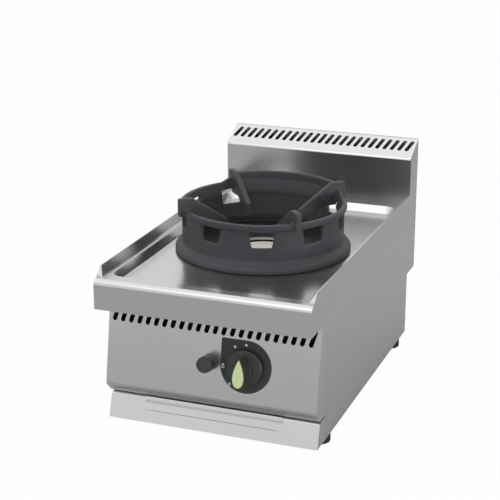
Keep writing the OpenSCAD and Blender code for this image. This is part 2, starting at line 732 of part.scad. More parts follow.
module tap_collar() color("goldenrod") on_panel(tap_x, control_s)
    translate([0, 0, -collar_z]) difference() {
        cylinder(r = bore_r - run, h = 4);
        translate([0, 0, -1]) cylinder(r = spindle_r + run, h = 6);
    }
module coil(r, w, l, turns) {
    steps = turns * 12;
    function at(i) = let (a = 30 * i) [r * cos(a), r * sin(a), l * i / steps];
    function ring(i) = let (a = 30 * i) [for (k = [0:5])
        at(i) + w * [cos(60 * k) * cos(a), cos(60 * k) * sin(a), sin(60 * k)]];
    pts = [for (i = [0:steps]) each ring(i)];
    side = [for (i = [0:steps - 1], k = [0:5]) let (a = 6 * i + k,
        b = 6 * i + (k + 1) % 6) each [[a, b, b + 6], [a, b + 6, a + 6]]];
    polyhedron(pts, concat([[for (k = [5:-1:0]) k]], side,
        [[for (k = [0:5]) 6 * steps + k]]));
}
module tap_spring() color("silver") on_panel(tap_x, control_s)
    translate([0, 0, -bore_deep + 0.8]) coil(5.3, 0.6, bore_deep - collar_z - 1.7, 6);
module tap_bracket() color("gray") difference() {
    union() {
        on_panel(tap_x, control_s)
            translate([-30, -24, -tap_front - sheet - 1.8]) cube([60, 44, sheet]);
        for (s = [0, 1]) on_panel(tap_x + (s ? 30 : -30 - 0), control_s)
            translate([s ? -sheet : 0, -24, -tap_front - sheet - 1.8])
                cube([sheet, 44, tap_front + 1.8]);
    }
    on_panel(tap_x, control_s) translate([0, 0, -60]) cylinder(r = bonnet_r + run, h = 80);
}
module knob() color("#2b2b2b") on_panel(knob_x, control_s)
    translate([0, 0, dial_t + knob_gap]) difference() {
        union() {
            cylinder(r1 = knob_r, r2 = knob_r - 1, h = skirt_t);
            translate([0, -3, skirt_t - 0.01]) hull() {
                for (p = [[0, -14, 15], [0, 20, 4]]) translate([p[0], p[1], 0])
                    cylinder(r = p[2], h = 1, $fn = 48);
                for (p = [[0, -13, 11.8], [0, 22, 2.5]]) translate([p[0], p[1], grip_h - 1])
                    cylinder(r = p[2], h = 1, $fn = 48);
            }
        }
        translate([0, 0, -1]) cylinder(r = spindle_r + run, h = 20.5);
        translate([0, -3, skirt_t + grip_h - 1.5]) drop(0, 3);
    }
// Drop shape on the grip's face
module drop(inset, h) {
    linear_extrude(h) {
        translate([0, -13]) circle(10.2 - inset);
        polygon([[-(10.2 - inset) * 0.951, -13 + (10.2 - inset) * 0.309],
            [(10.2 - inset) * 0.951, -13 + (10.2 - inset) * 0.309],
            [1, 21 - inset * 2], [-1, 21 - inset * 2]]);
    }
}
module knob_insert() color("#c5d6a2") on_panel(knob_x, control_s)
    translate([0, -3, dial_t + knob_gap + skirt_t + grip_h - 1.5]) drop(run, 1.8);
module dial_plate() color("#303030") on_panel(knob_x, control_s) linear_extrude(dial_t)
    difference() {
        union() {
            circle(dial_r);
            translate([-dial_r, 0]) square([dial_r, dial_r - 2]);
            translate([-dial_r + 2, 0]) square([dial_r - 2, dial_r]);
            translate([-dial_r + 2, dial_r - 2]) circle(2, $fn = 32);
        }
        circle(bonnet_r - 3);
    }
// A point in the frame of the knob's axis, in body coordinates
function inside(x, y, h) = [tap_x + x,
    panel_y - (control_s - y) * sin(panel_tilt) - h * cos(panel_tilt),
    z_skirt - (control_s - y) * cos(panel_tilt) + h * sin(panel_tilt)];
module main_pipe() color("darkgray") {
    a = inside(16.5, 0, -tap_mid);
    pipe([a, [main_x, a[1], a[2]], [main_x, a[1], main_z], [main_x, y_flue - 23.5, main_z]],
        main_pipe_r);
}
module gas_inlet() color("darkgoldenrod") translate([main_x, y_flue, main_z])
    rotate([-90, 0, 0]) {
        translate([0, 0, -22]) cylinder(r = inlet_r + 5, h = 22 - 2 * sheet, $fn = 6);
        translate([0, 0, -sheet]) cylinder(r = inlet_r + 4.5, h = sheet + 2.8, $fn = 6);
        difference() {
            translate([0, 0, -23.5]) cylinder(r = inlet_r, h = 55);
            translate([0, 0, -5]) cylinder(r = inlet_r - 3, h = 40);
        }
    }
module feed_pipe() color("goldenrod") {
    a = inside(0, 0, -tap_deep - 1);
    b = inside(0, 0, -(jet_y - inside(0, 0, 0)[1]) / cos(panel_tilt));
    pipe([a, b, [tap_x, jet_y, mix_z], [5.5, jet_y, mix_z]], feed_r);
}
module pilot_burner() color("silver") difference() {
    translate([pilot_at[0], pilot_at[1], 0]) {
        translate([0, 0, z_pot - 34]) cylinder(r = 6, h = 44);
        translate([0, 0, z_pot + 10]) difference() {
            cylinder(r = 7.5, h = 12);
            translate([0, 0, 2]) cylinder(r = 6, h = 12);
            translate([2, -3, 3]) cube([8, 6, 12]);
        }
        box([-16, -6, z_pot - 10], [34, 28, z_pot - 10 + sheet]);
        box([-16, 6, z_bridge], [-16 + sheet, 24, z_pot - 10 + sheet]);
    }
    for (p = [thermo_at, spark_at]) translate([p[0], p[1], 0]) cylinder(r = 3 + run, h = 400);
    translate([0, cy, 0]) cylinder(r = cap_r - 4 + gap, h = 400);
}
module pilot_pipe() color("goldenrod") {
    a = inside(-tap_r - gap / 2, 0, -tap_mid);
    x = pilot_at[0];
    y = pilot_at[1];
    z = z_bridge - 30;
    pipe([a, [30, a[1], a[2]], [30, a[1], a[2] - 28], [-40, a[1], a[2] - 28],
        [-40, shield_y - 15, z], [-40, jet_y + 4, z], [x, y, z], [x, y, z_pot - 34]], 2);
}
module thermocouple() color("peru") {
    x = thermo_at[0];
    z = z_bridge - 24;
    a = inside(-12, 0, -tap_deep - gap);
    translate([x, cy, z_pot - 34]) cylinder(r = 3, h = 50);
    translate([x, cy, z_pot + 15.5]) cylinder(r1 = 3, r2 = 1.5, h = 6);
    y = a[1] + 4;
    pipe([a, [a[0], y, a[2]], [-50, y, a[2] + 10], [-52, y, z], [-53, jet_y + 4, z + 1],
        [x, cy, z], [x, cy, z_pot - 33]], 1.5);
}
module spark_electrode() color("white") translate([spark_at[0], spark_at[1], 0]) {
    translate([0, 0, z_pot - 30]) cylinder(r = 3, h = 44);
    translate([0, 0, z_pot + 12]) cylinder(r = 1, h = 12, $fn = 24);
}
module spark_lead() color("#202020") {
    x = spark_at[0];
    y = spark_at[1];
    z = z_bridge - 40;
    pipe([inside(button_x - tap_x, 0, -button_deep),
        inside(button_x - tap_x, 0, -button_deep - 6),
        [-56, shield_y - 22, z], [-56, jet_y + 4, z], [x, y, z], [x, y, z_pot - 30]], 2);
}
module button_housing() color("#3a3a3a") on_panel(button_x, control_s) difference() {
    union() {
        translate([0, 0, -sheet - 3]) cylinder(r = button_r + 8, h = 3);
        translate([0, 0, -button_deep]) cylinder(r = button_r + 3, h = button_deep - sheet);
    }
    translate([0, 0, -button_bore]) cylinder(r = button_r + run, h = button_bore + 4);
}
module spark_button() color("#262626") on_panel(button_x, control_s) {
    translate([0, 0, -button_back]) cylinder(r = button_r, h = button_back + button_h - 1.5);
    translate([0, 0, button_h - 1.5]) cylinder(r1 = button_r, r2 = button_r - 1.5, h = 1.5);
}
module button_spring() color("silver") on_panel(button_x, control_s)
    translate([0, 0, -button_bore + 0.9]) coil(9, 0.8, button_bore - button_back - 1.8, 5);

// Feet and fasteners
module at_foot(sx, sy) {
    translate([sx * (hw - foot_inset), sy > 0 ? y_flue - 41.6 : y_side + 36.7, 0]) children();
}
module foot(sx, sy) color("#1c1c1c") at_foot(sx, sy) {
    cylinder(r1 = foot_r - 2, r2 = foot_r, h = 3);
    translate([0, 0, 3]) cylinder(r = foot_r, h = foot_h - 3);
}
module foot_front_left() foot(-1, -1);
module foot_front_right() foot(1, -1);
module foot_back_left() foot(-1, 1);
module foot_back_right() foot(1, 1);
module foot_nuts() color("silver") for (sx = [-1, 1], sy = [-1, 1]) at_foot(sx, sy)
    translate([0, 0, foot_h + 2 * sheet]) cylinder(r = 6.5, h = 5, $fn = 6);
module screw_head() {
    cylinder(r = 4, h = 2);
}
module casing_screws() color("silver") for (sx = [-1, 1], z = [foot_h + 30, foot_h + 110])
    translate([sx * (hw - 7.5), y_flue, z]) rotate([-90, 0, 0]) screw_head();
module flue_screws() color("silver") for (x = [-1, -1 / 3, 1 / 3, 1] * screw_x)
    translate([x, y_flue + flue_d / 2, flue_low]) rotate([180, 0, 0]) screw_head();

worktop();
side_panel_left();
side_panel_right();
back_panel();
base_plate();
control_panel();
front_rail();
heat_shield();
tray_front();
drip_tray();
tray_runner_left();
tray_runner_right();
flue_front();
flue_back();
flue_baffle();
wok_ring();
burner_pot();
burner_crown();
burner_cap();
burner_bridge();
burner_bolts();
mixing_tube();
air_shutter();
injector();
injector_holder();
gas_tap();
tap_spindle();
tap_collar();
tap_spring();
tap_bracket();
knob();
knob_insert();
dial_plate();
main_pipe();
feed_pipe();
pilot_pipe();
pilot_burner();
thermocouple();
spark_electrode();
spark_lead();
button_housing();
spark_button();
button_spring();
gas_inlet();
foot_front_left();
foot_front_right();
foot_back_left();
foot_back_right();
foot_nuts();
casing_screws();
flue_screws();
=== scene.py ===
import math

import bmesh
import bpy
from mathutils import Matrix, Vector


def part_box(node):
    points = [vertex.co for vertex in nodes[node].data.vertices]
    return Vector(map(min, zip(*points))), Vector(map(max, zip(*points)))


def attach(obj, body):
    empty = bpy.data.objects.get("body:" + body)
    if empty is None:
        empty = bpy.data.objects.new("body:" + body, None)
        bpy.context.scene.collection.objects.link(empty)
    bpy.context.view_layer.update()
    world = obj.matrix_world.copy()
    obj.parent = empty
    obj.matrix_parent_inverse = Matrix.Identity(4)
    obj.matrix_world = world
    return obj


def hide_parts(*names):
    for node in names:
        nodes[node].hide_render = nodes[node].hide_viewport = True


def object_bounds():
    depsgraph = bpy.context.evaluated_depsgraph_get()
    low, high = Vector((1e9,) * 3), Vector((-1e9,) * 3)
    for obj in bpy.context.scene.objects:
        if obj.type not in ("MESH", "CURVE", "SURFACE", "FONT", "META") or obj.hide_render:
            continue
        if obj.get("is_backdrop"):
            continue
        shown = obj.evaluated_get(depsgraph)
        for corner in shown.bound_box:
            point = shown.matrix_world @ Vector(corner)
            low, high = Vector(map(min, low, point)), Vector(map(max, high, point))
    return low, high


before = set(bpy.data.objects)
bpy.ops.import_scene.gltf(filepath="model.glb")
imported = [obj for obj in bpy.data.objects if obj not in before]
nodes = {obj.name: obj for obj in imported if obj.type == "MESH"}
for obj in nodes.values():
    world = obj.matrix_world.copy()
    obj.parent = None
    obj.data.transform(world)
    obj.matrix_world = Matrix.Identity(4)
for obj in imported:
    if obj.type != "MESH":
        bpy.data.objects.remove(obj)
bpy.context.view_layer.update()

# Camera: the photograph's place and angle, found by fitting the unit's straight edges.
# It stands 2.4 m in front of the unit, a little to the right and above the worktop.
camera_place = (0.8649, -2.4155, 1.1241)
camera_azimuth = 20.53
camera_elevation = 18.45
focal_length = 101.43
sensor_width = 36
furthest_seen = 50
scene = bpy.context.scene
camera_data = bpy.data.cameras.new("camera")
camera_data.sensor_width = sensor_width
camera_data.lens = focal_length
camera_data.clip_end = furthest_seen
camera = bpy.data.objects.new("camera", camera_data)
camera.location = camera_place
camera.rotation_euler = (math.radians(90 - camera_elevation), 0,
                         math.radians(camera_azimuth))
scene.collection.objects.link(camera)
scene.camera = camera


# Studio: a plain pale floor, a white surround, one wide soft lamp overhead, one high at
# the front, one at the left and a low one at the right for thin lights on upright bends.
def linear(hex_colour):
    """The linear colour, with alpha, of an sRGB hex colour."""
    parts = [int(hex_colour[i:i + 2], 16) / 255 for i in (1, 3, 5)]
    return [p / 12.92 if p <= 0.04045 else ((p + 0.055) / 1.055) ** 2.4
            for p in parts] + [1]


def add(tree, kind, settings=None, links=None):
    """Adds a node. settings are properties or input values, links are input: socket."""
    node = tree.nodes.new(kind)
    for key, value in (settings or {}).items():
        if isinstance(key, str) and hasattr(node, key):
            setattr(node, key, value)
        else:
            node.inputs[key].default_value = value
    for key, socket in (links or {}).items():
        tree.links.new(socket, node.inputs[key])
    return node


def seen_share(tree, to_eye, to_gloss):
    """How much of the white is shown: to_eye for the camera, to_gloss in reflections."""
    path = add(tree, "ShaderNodeLightPath")
    eye = add(tree, "ShaderNodeMath", {"operation": "MULTIPLY", 1: to_eye},
              {0: path.outputs["Is Camera Ray"]})
    shine = add(tree, "ShaderNodeMath", {"operation": "MAXIMUM"},
                {0: path.outputs["Is Glossy Ray"],
                 1: path.outputs["Is Transmission Ray"]})
    gloss = add(tree, "ShaderNodeMath", {"operation": "MULTIPLY", 1: to_gloss},
                {0: shine.outputs[0]})
    return add(tree, "ShaderNodeMath", {"operation": "MAXIMUM"},
               {0: eye.outputs[0], 1: gloss.outputs[0]}).outputs[0]


def cleared(owner):
    """The emptied node tree of a world or a material."""
    owner.use_nodes = True
    owner.node_tree.nodes.clear()
    return owner.node_tree


def new_mesh(bm, name):
    """A mesh with the bmesh's shape. The bmesh is used up."""
    mesh = bpy.data.meshes.new(name)
    bm.to_mesh(mesh)
    bm.free()
    return mesh


scene.view_settings.view_transform = "Standard"
plain_white = (1, 1, 1, 1)
surround_light = 0.72
world = bpy.data.worlds.new("studio")
scene.world = world
tree = cleared(world)
white = add(tree, "ShaderNodeBackground", {"Color": plain_white, "Strength": 1.0})
dim = add(tree, "ShaderNodeBackground",
          {"Color": plain_white, "Strength": surround_light})
mix = add(tree, "ShaderNodeMixShader", None,
          {0: seen_share(tree, 1.0, 0.9), 1: dim.outputs[0], 2: white.outputs[0]})
add(tree, "ShaderNodeOutputWorld", None, {"Surface": mix.outputs[0]})

floor_radius = 9
bm = bmesh.new()
bmesh.ops.create_circle(bm, cap_ends=True, segments=64, radius=floor_radius)
floor_mesh = new_mesh(bm, "floor")
floor = bpy.data.objects.new("floor", floor_mesh)
scene.collection.objects.link(floor)
floor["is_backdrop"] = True
floor_paint = bpy.data.materials.new("floor_paint")
tree = cleared(floor_paint)
matt = add(tree, "ShaderNodeBsdfDiffuse", {"Color": linear("#c0c0c0")})
glow = add(tree, "ShaderNodeEmission", {"Color": plain_white, "Strength": 1.0})
mix = add(tree, "ShaderNodeMixShader", None,
          {0: seen_share(tree, 0.98, 0.0), 1: matt.outputs[0], 2: glow.outputs[0]})
add(tree, "ShaderNodeOutputMaterial", None, {"Surface": mix.outputs[0]})
floor_mesh.materials.append(floor_paint)


def lamp(name, place, aim, size, watts):
    """A round soft lamp at place, turned to aim; size is its diameter in metres."""
    data = bpy.data.lights.new(name, "AREA")
    data.shape = "DISK"
    data.size = size
    data.energy = watts
    lit = bpy.data.objects.new(name, data)
    lit.location = place
    way = Vector(aim) - Vector(place)
    lit.rotation_euler = way.to_track_quat("-Z", "Y").to_euler()
    scene.collection.objects.link(lit)


lamp("overhead", (-0.4, -0.2, 2.6), (-0.4, -0.2, 0), 5, 20)
lamp("front_high", (-0.2, -1.75, 2.3), (0, -0.2, 0.35), 2.0, 6)
lamp("left_front", (-2.4, -2.0, 1.4), (0, 0, 0.2), 1.6, 4)
lamp("low_right", (2.4, -1.1, 0.35), (0, -0.3, 0.15), 0.8, 14)


# Stainless steel: grade 304 sheet, fine brushed along the length of each panel, then
# wiped. To the eye it is a soft grey mirror with faint streaks and no colour.
def object_coordinates(tree, scale=(1, 1, 1)):
    """Places in metres on the object itself, times scale."""
    place = add(tree, "ShaderNodeTexCoord")
    return add(tree, "ShaderNodeMapping", {"Scale": scale},
               {"Vector": place.outputs["Object"]}).outputs[0]


def surface(tree, settings, colour, tones, rough, relief):
    """Ends a material whose colour, roughness and relief each follow a pattern. tones and
    rough are (pattern, lowest, highest), relief is (pattern, strength, metres)."""
    pattern, darkest, lightest = tones
    tint = add(tree, "ShaderNodeValToRGB", None, {"Fac": pattern.outputs["Fac"]})
    for stop, place, factor in zip(tint.color_ramp.elements, (0.3, 0.7),
                                   (darkest, lightest)):
        stop.position = place
        stop.color = [min(c * factor, 1) for c in linear(colour)[:3]] + [1]
    pattern, smoothest, roughest = rough
    spread = add(tree, "ShaderNodeMapRange", {"To Min": smoothest, "To Max": roughest},
                 {"Value": pattern.outputs["Fac"]})
    pattern, strength, height = relief
    bump = add(tree, "ShaderNodeBump", {"Strength": strength, "Distance": height},
               {"Height": pattern.outputs["Fac"]})
    skin = add(tree, "ShaderNodeBsdfPrincipled", settings,
               {"Base Color": tint.outputs[0], "Roughness": spread.outputs[0],
                "Normal": bump.outputs[0]})
    add(tree, "ShaderNodeOutputMaterial", None, {"Surface": skin.outputs[0]})


def brushed_steel(name, colour, grain, rough):
    """grain is how close the brush streaks lie along x, y and z, in streaks per metre.
    The clouds that wiping leaves are about 14 cm wide."""
    material = bpy.data.materials.new(name)
    tree = cleared(material)
    streaks = add(tree, "ShaderNodeTexNoise",
                  {"Scale": 1.0, "Detail": 4.0, "Roughness": 0.6},
                  {"Vector": object_coordinates(tree, grain)})
    clouds = add(tree, "ShaderNodeTexNoise", {"Scale": 7.0, "Detail": 2.0},
                 {"Vector": object_coordinates(tree)})
    surface(tree, {"Metallic": 1.0}, colour, (streaks, 0.985, 1.015),
            (clouds, rough - 0.03, rough + 0.03), (streaks, 0.015, 0.0002))
    return material


# Streaks are drawn about 0.8 mm apart, coarser than real brushing, so that they show.
along_width = (6, 900, 1200)
along_depth = (1200, 6, 1200)
steel_wide = brushed_steel("brushed_steel_across", "#cdcdcd", along_width, 0.22)
steel_deep = brushed_steel("brushed_steel_along", "#c9c9c9", along_depth, 0.22)


def merged(node):
    """A bmesh of a node's solid with its flat faces made whole."""
    same_place = 2e-6
    still_flat = math.radians(0.5)
    bm = bmesh.new()
    bm.from_mesh(nodes[node].data)
    bmesh.ops.remove_doubles(bm, verts=bm.verts, dist=same_place)
    bmesh.ops.dissolve_limit(bm, angle_limit=still_flat, verts=bm.verts, edges=bm.edges)
    return bm


def is_fold(edge, least):
    """A sharp edge between two faces both wider than least: a bend and not a rim."""
    sharpest_flat = math.radians(20)
    if len(edge.link_faces) != 2 or edge.calc_face_angle() < sharpest_flat:
        return False
    for face in edge.link_faces:
        longest = max(e.calc_length() for e in face.edges)
        if face.calc_area() < least * longest:
            return False
    return True


def fold(bm, radius, thickness, where, narrow=None):
    """Rounds the bends whose middle passes where: outer ones to radius, inner ones less.
    A face narrower than narrow, or if that isn't given than 2.2 sheets, is a rim."""
    tightest = 0.0003
    arc_steps = 4
    for outer in (True, False):
        size = radius if outer else max(radius - thickness, tightest)
        edges = [e for e in bm.edges if e.is_convex == outer
                 and is_fold(e, narrow or 2.2 * thickness)
                 and where((e.verts[0].co + e.verts[1].co) / 2)]
        if edges:
            bmesh.ops.bevel(bm, geom=edges, offset=size, offset_type="OFFSET",
                            segments=arc_steps, profile=0.5, affect="EDGES",
                            clamp_overlap=True, material=-1)


def place_piece(mesh, name, body, stands_for):
    """Puts a finished mesh in the scene, to ride with its body in place of some nodes."""
    piece = bpy.data.objects.new(name, mesh)
    scene.collection.objects.link(piece)
    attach(piece, body)
    if stands_for:
        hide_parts(*stands_for)
    return piece


def make_piece(bm, name, material, body, stands_for=(), sharp=32):
    """A piece whose bends of less than sharp degrees look smooth and its flats flat."""
    mesh = new_mesh(bm, name)
    mesh.materials.append(material)
    mesh.shade_smooth()
    mesh.set_sharp_from_angle(angle=math.radians(sharp))
    piece = place_piece(mesh, name, body, stands_for)
    weighted = piece.modifiers.new("flat_faces", "WEIGHTED_NORMAL")
    weighted.keep_sharp = True


sheet_thick = 0.0012


def folded_sheet(node, name, material, folds, thickness=sheet_thick, body="casing",
                 reshape=None):
    """The node's solid with its bends rounded; folds holds (radius, where, narrow)."""
    bm = merged(node)
    if reshape:
        reshape(bm)
    for radius, where, *narrow in folds:
        fold(bm, radius, thickness, where, *narrow)
    make_piece(bm, name, material, body, [node])


# Worktop: one pressed sheet, 1.5 mm thick, with a sunk well, side upstands and a rolled
# front apron. Every bend is rounded by the press, the well's round its corners too.
top_thick = 0.0015
rim = 0.0006
deck_z = 0.300
well_z = 0.286
rim_z = 0.317
hollow_z = 0.3155
foot_out = 0.1885
hole_middle = Vector((0, -0.0354))
clear_of_hole = 0.075

# Each row: an edge along an upstand, as its height and distance from the middle, then
# where it goes, so that the rim is 1.7 mm wide and the hollow below it stays inside.
upstand_moves = (
    (rim_z, 0.1960, rim_z, 0.1983),
    (hollow_z, 0.1985, 0.3080, 0.1985),
    (hollow_z, 0.1970, 0.3080, 0.1950),
    (deck_z, 0.1860, deck_z, foot_out),
    (deck_z - top_thick, 0.1870, deck_z - top_thick, 0.1896),
)


def thin_upstands(bm):
    """Draws the upstands' inner faces out to a thin rim, by the rows of upstand_moves."""
    near = 0.0003
    for v in bm.verts:
        for z, out, new_z, new_out in upstand_moves:
            if abs(v.co.z - z) < near and abs(abs(v.co.x) - out) < near:
                v.co.x = math.copysign(new_out, v.co.x)
                v.co.z = new_z
                break


def at_height(p, z):
    return abs(p.z - z) < 0.002


def in_well(p):
    """In the well or on its rim, clear of the burner hole and the upstands."""
    return (abs(p.x) < 0.1835 and -0.322 < p.y < 0.260
            and (p.xy - hole_middle).length > clear_of_hole)


def on_nose(p):
    """On the inner edge of an upstand's sloping front end."""
    return 0.192 < abs(p.x) < 0.196 and p.y < -0.3293 and 0.305 < p.z < 0.312


def on_upstand_foot(p):
    return abs(abs(p.x) - foot_out) < 0.0005 and abs(p.z - deck_z) < 0.0005


folded_sheet("worktop", "worktop_sheet", steel_deep, [
    (0.0014, on_nose, rim),
    (0.0050, on_upstand_foot),
    (0.0022, lambda p: at_height(p, deck_z) and in_well(p), rim),
    (0.0030, lambda p: at_height(p, well_z) and in_well(p), rim),
    (0.0018, lambda p: p.z > deck_z - 0.004 and abs(p.x) > 0.184),
    (0.0006, lambda p: p.z > rim_z - 0.0005, rim),
], top_thick, reshape=thin_upstands)


# Casing: folded side sheets. They hang below the worktop's skirt with a shadow line
# between, and the thin front edge of each is rounded so that it catches the light.
def anywhere(p):
    return True


side_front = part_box("side_panel_left")[0][1]
for side in ("left", "right"):
    folded_sheet("side_panel_" + side, "side_sheet_" + side, steel_deep, [
        (0.0018, anywhere),
        (0.0005, lambda p: p.y < side_front + 0.0002 and abs(p.x) > 0.19, rim),
    ])

# Control panel: a folded steel front that leans back at its top, with slanted vent slots
# under the worktop and one soft bend along its foot.
folded_sheet("control_panel", "control_panel_sheet", steel_wide, [
    (0.0045, lambda p: p.z < 0.10 and abs(p.x) < 0.19),
    (0.0015, anywhere),
])

# Drip tray: its front is folded with a finger pull, and carries the pan that slides in
# over two runners.
lip_foot_z = 0.055
lip_rim_z = 0.0655
lip_half = 0.132
folded_sheet("tray_front", "tray_front_sheet", steel_wide, [
    (0.0008, lambda p: p.z > lip_foot_z),
    (0.0015, lambda p: p.z < lip_foot_z),
    (0.0005, lambda p: p.z > lip_rim_z and abs(p.x) < lip_half, rim),
], body="tray")
folded_sheet("drip_tray", "drip_pan", steel_wide, [(0.003, anywhere)], body="tray")

# Flue: a front sheet that turns over as the slotted top, and a back sheet folded as a
# tray. Hot air leaves through the slanted slots.
folded_sheet("flue_front", "flue_front_sheet", steel_wide, [(0.0045, anywhere)])
folded_sheet("flue_back", "flue_back_sheet", steel_deep, [(0.0015, anywhere)])


# Wok ring: grey cast iron from a sand mould, enamelled black. Its edges are rounded by
# the mould and its skin is faintly pebbled, with a soft sheen.
def cast_iron(name, colour, rough, grit):
    """grit is the size of the skin's pebbles in metres. Its patches are 7 cm wide."""
    material = bpy.data.materials.new(name)
    tree = cleared(material)
    place = object_coordinates(tree)
    pebbles = add(tree, "ShaderNodeTexNoise", {"Scale": 1 / grit, "Detail": 3.0},
                  {"Vector": place})
    patches = add(tree, "ShaderNodeTexNoise", {"Scale": 14.0, "Detail": 3.0},
                  {"Vector": place})
    surface(tree, {"Metallic": 0.0, "Specular IOR Level": 0.35}, colour,
            (patches, 0.88, 1.1), (pebbles, rough - 0.06, rough + 0.06),
            (pebbles, 0.25, 0.0003))
    return material


iron = cast_iron("enamelled_cast_iron", "#3e3d42", 0.5, 0.0025)


def rounded_casting(node, name, material, body, grain, rounds, kept):
    """The node's solid remeshed at grain and smoothed, so that all its edges are round.
    kept is the share of its faces that stays."""
    rough = bpy.data.objects.new(name + "_rough", new_mesh(merged(node), name + "_rough"))
    scene.collection.objects.link(rough)
    remesh = rough.modifiers.new("skin", "REMESH")
    remesh.mode = "VOXEL"
    remesh.voxel_size = grain
    soft = rough.modifiers.new("round", "SMOOTH")
    soft.factor = 0.5
    soft.iterations = rounds
    fewer = rough.modifiers.new("fewer", "DECIMATE")
    fewer.ratio = kept
    depsgraph = bpy.context.evaluated_depsgraph_get()
    cast = bpy.data.meshes.new_from_object(rough.evaluated_get(depsgraph))
    bpy.data.objects.remove(rough)
    cast.name = name
    cast.materials.clear()
    cast.materials.append(material)
    cast.shade_smooth()
    place_piece(cast, name, body, [node])


rounded_casting("wok_ring", "cast_wok_ring", iron, "wok_support",
                grain=0.0014, rounds=5, kept=0.5)


# Burner: cast iron pot, brass crown with flame ports and an ivory enamelled cap that
# lifts off for cleaning.
def plain_finish(name, colour, rough, metal=0.0, grain=0.004, vary=0.08):
    """Moulded or machined surface with faint patches; grain is their size in metres."""
    material = bpy.data.materials.new(name)
    tree = cleared(material)
    patches = add(tree, "ShaderNodeTexNoise", {"Scale": 1 / grain, "Detail": 3.0},
                  {"Vector": object_coordinates(tree)})
    surface(tree, {"Metallic": metal}, colour, (patches, 1 - vary, 1 + vary),
            (patches, rough - 0.04, rough + 0.06), (patches, 0.1, 0.0001))
    return material


def dress(node, material):
    """Gives a solid that keeps its shape its finish."""
    nodes[node].data.materials.clear()
    nodes[node].data.materials.append(material)


# Enamel is smooth and glossy, machined brass and drawn copper are warm soft mirrors, and
# zinc plating is a dull grey one.
ivory = plain_finish("ivory_enamel", "#e6e2d6", 0.3, grain=0.01, vary=0.05)
brass = plain_finish("machined_brass", "#c9a45a", 0.28, metal=1.0, grain=0.006)
zinc = plain_finish("zinc_plated_steel", "#a9abad", 0.38, metal=1.0, grain=0.02)
copper = plain_finish("drawn_copper", "#c88a62", 0.3, metal=1.0, grain=0.01)
dress("burner_pot", cast_iron("bare_cast_iron", "#3b3a3d", 0.6, 0.003))
dress("burner_crown", brass)
dress("burner_cap", ivory)
for node in ("injector", "injector_holder", "gas_tap", "tap_collar", "gas_inlet"):
    dress(node, brass)
for node in ("feed_pipe", "pilot_pipe", "thermocouple"):
    dress(node, copper)
for node in ("base_plate", "front_rail", "heat_shield", "tray_runner_left",
             "tray_runner_right", "flue_baffle", "burner_bridge", "burner_bolts",
             "tap_bracket", "foot_nuts", "casing_screws", "flue_screws", "pilot_burner",
             "mixing_tube", "air_shutter", "tap_spindle", "main_pipe", "tap_spring",
             "button_spring"):
    dress(node, zinc)
dress("back_panel", steel_wide)
dress("spark_electrode", plain_finish("glazed_ceramic", "#eeeeea", 0.2))
dress("spark_lead", plain_finish("silicone_sleeve", "#1f1f1f", 0.6))


# Dial plate: satin black plate with one square corner, glued to the leaning panel behind
# the knob. Its marks are printed white: a dot for off, a spark mark and two flames.
panel_lean = math.radians(9.93)
panel_top = Vector((0, -0.2873, 0.245))
dial_face = 0.0020
ink_thick = 0.0002
ink_sunk = 0.0001
# Moulded nylon has a fine satin skin, the plate is a little darker and the ink is matt.
nylon = plain_finish("moulded_nylon", "#343534", 0.42, grain=0.0012, vary=0.06)
dial_black = plain_finish("satin_black_plate", "#2d2e2d", 0.5, grain=0.003)
white_ink = plain_finish("white_ink", "#f0f0ee", 0.5, grain=0.002, vary=0.03)
dress("dial_plate", dial_black)


def on_slope(bm, start, lean, x, up):
    """Stands a shape on a face that leans back, x to the right of start and up from it."""
    turn = Matrix.Rotation(math.pi / 2 - lean, 4, "X")
    slope = Vector((0, math.sin(lean), math.cos(lean)))
    place = Matrix.Translation(start + Vector((x, 0, 0)) + up * slope) @ turn
    bmesh.ops.transform(bm, matrix=place, verts=bm.verts)


def on_panel(bm, x, down):
    """Stands a shape on the panel, x from the middle and down from its top edge."""
    on_slope(bm, panel_top, panel_lean, x, -down)


def leaf(bm, half, long, middle, z):
    """A leaf outline, pointed at the top and full below; half is half its width."""
    widest = 0.77
    ring = bmesh.ops.create_circle(bm, segments=48, radius=1)["verts"]
    for v in ring:
        t = abs(math.atan2(v.co.x, v.co.y))
        width = half / widest * math.sin(t) * math.sin(t / 2)
        v.co = (math.copysign(width, v.co.x), middle + long / 2 * math.cos(t), z)
    return [e for e in bm.edges if e.verts[0] in ring and e.verts[1] in ring]


def printed(bm, name, x, down):
    """Gives a flat mark the ink's thickness and prints it on the dial."""
    flat = bmesh.ops.extrude_face_region(bm, geom=bm.faces[:])["geom"]
    lifted = [g for g in flat if isinstance(g, bmesh.types.BMVert)]
    bmesh.ops.translate(bm, vec=(0, 0, ink_thick), verts=lifted)
    bmesh.ops.recalc_face_normals(bm, faces=bm.faces)
    bmesh.ops.translate(bm, vec=(0, 0, dial_face - ink_sunk), verts=bm.verts)
    on_panel(bm, x, down)
    make_piece(bm, name, white_ink, "casing")


for name, corners, radius, x, down in (("mark_off", 32, 0.0021, 0.0652, 0.0512),
                                       ("mark_spark", 3, 0.0034, 0.0447, 0.0568)):
    bm = bmesh.new()
    bmesh.ops.create_circle(bm, cap_ends=True, segments=corners, radius=radius,
                            matrix=Matrix.Rotation(math.pi, 4, "Z"))
    printed(bm, name, x, down)

# A flame is an outline: a leaf with a smaller leaf left open in it, a little lower.
for name, high, x, down in (("mark_large_flame", 0.0095, 0.0241, 0.0928),
                            ("mark_small_flame", 0.0065, 0.0384, 0.1240)):
    bm = bmesh.new()
    outer = leaf(bm, high * 0.29, high, 0, 0)
    inner = leaf(bm, high * 0.16, high * 0.58, -high * 0.1, 0)
    bmesh.ops.bridge_loops(bm, edges=outer + inner)
    printed(bm, name, x, down)


